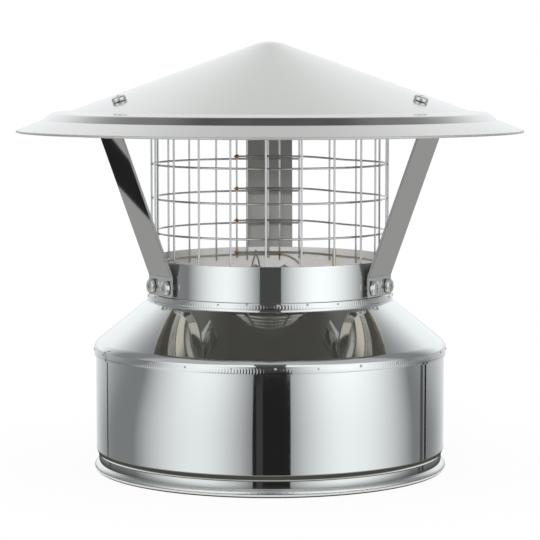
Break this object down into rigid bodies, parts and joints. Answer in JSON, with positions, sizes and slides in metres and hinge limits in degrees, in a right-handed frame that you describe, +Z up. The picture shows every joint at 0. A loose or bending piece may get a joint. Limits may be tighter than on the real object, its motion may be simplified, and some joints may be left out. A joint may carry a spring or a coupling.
{
  "type": "chimney cap",
  "caption": "Steel chimney cap: stepped conical rain hat on bent straps over a flue tube with a rolled wire bird guard, and a conical shoulder down to a short outer casing.",
  "frame": {"origin": "centre of the outer casing's rolled rim, on the level that it rests on", "axes": "+Z up along the flue's axis, -Y towards the front, +X to the right seen from the front"},
  "size_m": [0.26, 0.26, 0.22],
  "materials": {
    "mirror_sheet": "polished",
    "satin_sheet": "satin",
    "satin_strip": "satin",
    "guard_wire": "satin",
    "fasteners": "polished",
    "tie_wire": "satin"
  },
  "bodies": {
    "root": {"rain_hat": "satin_sheet", "flue_tube": "mirror_sheet", "shoulder_cone": "mirror_sheet", "outer_casing": "mirror_sheet", "bird_guard": "guard_wire", "guard_tie_wire": "tie_wire", "strap_front_left": "satin_strip", "strap_front_right": "satin_strip", "strap_back": "satin_strip", "collar_screw_front_left_1": "fasteners", "collar_nut_front_left_1": "fasteners", "collar_screw_front_left_2": "fasteners", "collar_nut_front_left_2": "fasteners", "hat_screw_front_left": "fasteners", "hat_nut_front_left": "fasteners", "collar_screw_front_right_1": "fasteners", "collar_nut_front_right_1": "fasteners", "collar_screw_front_right_2": "fasteners", "collar_nut_front_right_2": "fasteners", "hat_screw_front_right": "fasteners", "hat_nut_front_right": "fasteners", "collar_screw_back_1": "fasteners", "collar_nut_back_1": "fasteners", "collar_screw_back_2": "fasteners", "collar_nut_back_2": "fasteners", "hat_screw_back": "fasteners", "hat_nut_back": "fasteners"}
  },
  "joints": []
}
